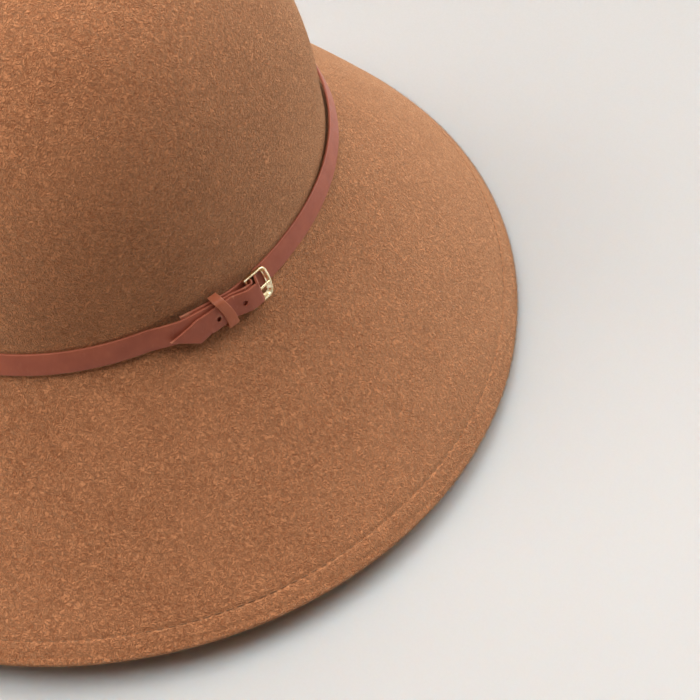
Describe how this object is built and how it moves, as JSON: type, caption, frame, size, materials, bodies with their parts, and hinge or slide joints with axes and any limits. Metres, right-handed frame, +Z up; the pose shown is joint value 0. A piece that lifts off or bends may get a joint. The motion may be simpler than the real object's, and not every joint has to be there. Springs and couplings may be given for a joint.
{
  "type": "wide-brim hat",
  "caption": "Round-crowned wide-brim felt hat with a sloping wired brim and a narrow buckled leather band.",
  "frame": {"origin": "on the plane of the brim's edge, which the hat rests on, under the middle of the crown", "axes": "+Z up through the crown's top, -Y the way the wearer looks, +X the wearer's left, where the buckle is"},
  "size_m": [0.3214, 0.3346, 0.1934],
  "materials": {
    "crown_felt": "brushed wool felt",
    "brim_felt": "brushed wool felt",
    "wire": "drawn flat strip",
    "edge_thread": "spun thread",
    "ribbon": "ribbed grosgrain ribbon",
    "ribbon_thread": "spun thread",
    "band_leather": "smooth, low sheen",
    "keeper_leather": "smooth, low sheen",
    "buckle_metal": "polished pale gold",
    "prong_metal": "polished pale gold"
  },
  "bodies": {
    "hat": {"crown": "crown_felt", "brim": "brim_felt", "brim_wire": "wire", "edge_stitching": "edge_thread", "sweatband": "ribbon", "sweatband_stitching": "ribbon_thread", "hat_band": "band_leather"},
    "keeper": {"band_keeper": "keeper_leather"},
    "frame": {"buckle_frame": "buckle_metal"},
    "prong": {"buckle_prong": "prong_metal"}
  },
  "joints": [
    {"name": "keeper_slide", "type": "hinge", "parent": "hat", "child": "keeper", "pos_m": [-0.02503, -0.00164, 0.0765], "axis": [0, 0, 1], "range_deg": [-4.12, 1.03]},
    {"name": "frame_tilt", "type": "hinge", "parent": "hat", "child": "frame", "pos_m": [0.0843, -0.02831, 0.08021], "axis": [0.3634, -0.0755, -0.9286], "range_deg": [0, 3]},
    {"name": "prong_lift", "type": "hinge", "parent": "frame", "child": "prong", "pos_m": [0.0843, -0.02831, 0.08021], "axis": [0.3634, -0.0755, -0.9286], "range_deg": [0, 3]}
  ]
}
